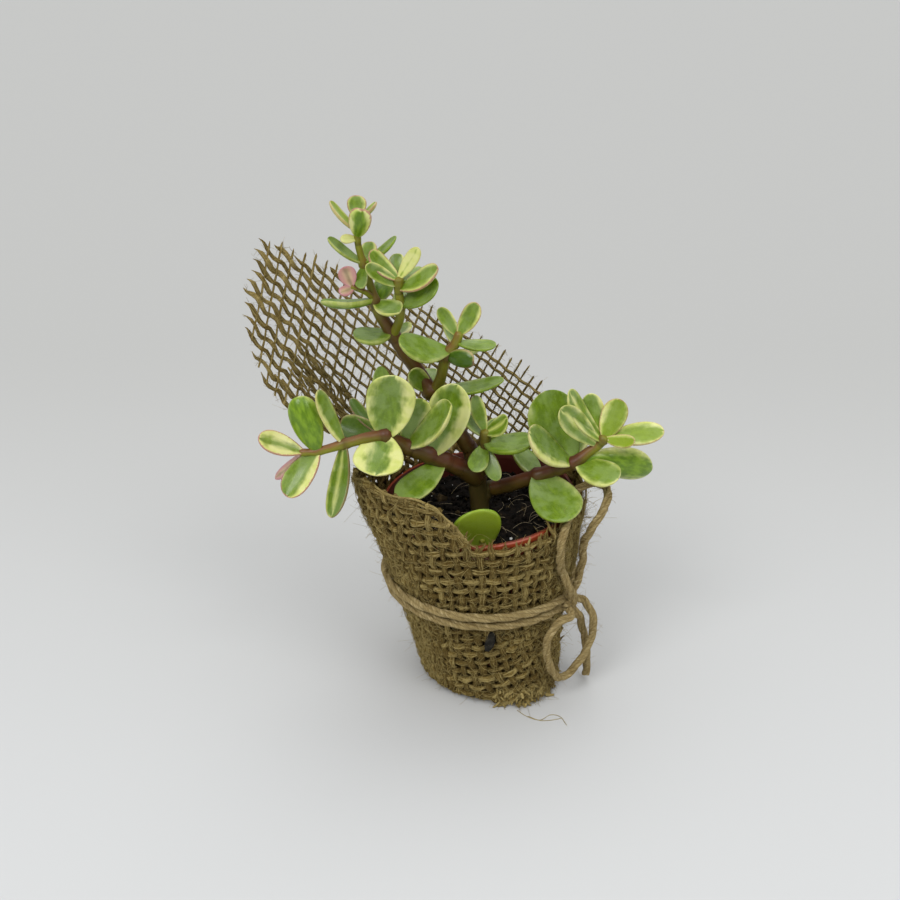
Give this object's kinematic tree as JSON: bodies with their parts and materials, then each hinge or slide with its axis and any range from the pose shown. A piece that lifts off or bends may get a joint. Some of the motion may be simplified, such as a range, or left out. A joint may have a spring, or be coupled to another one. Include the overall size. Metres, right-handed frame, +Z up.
{
  "type": "potted elephant bush",
  "caption": "Variegated elephant bush in a plastic nursery pot wrapped in burlap, tied with jute twine, one corner of the cloth standing up behind the plant.",
  "frame": {"origin": "on the ground under the centre of the pot's rim, on the flat underside of the burlap", "axes": "+Z up, front of the object towards -Y, the branch with the long left leaves towards -X"},
  "size_m": [0.1338, 0.0747, 0.169],
  "materials": {
    "pot_plastic": "satin orange-red plastic",
    "soil": "coarse dark potting soil with pale grains and roots",
    "bark": "smooth maroon-brown young bark",
    "leaf": "waxy fleshy leaf, green with cream margins",
    "burlap": "open-weave jute",
    "twine": "three-ply jute twine"
  },
  "bodies": {
    "root": {"pot": "pot_plastic", "soil": "soil", "trunk": "bark", "leafy_stem_tall": "leaf", "leafy_stem_left": "leaf", "leafy_stem_centre": "leaf", "leafy_stem_right": "leaf", "soil_leaf": "leaf", "burlap": "burlap", "twine_wrap": "twine", "twine_loop_upper": "twine", "twine_loop_lower": "twine", "twine_tail": "twine"}
  },
  "joints": []
}
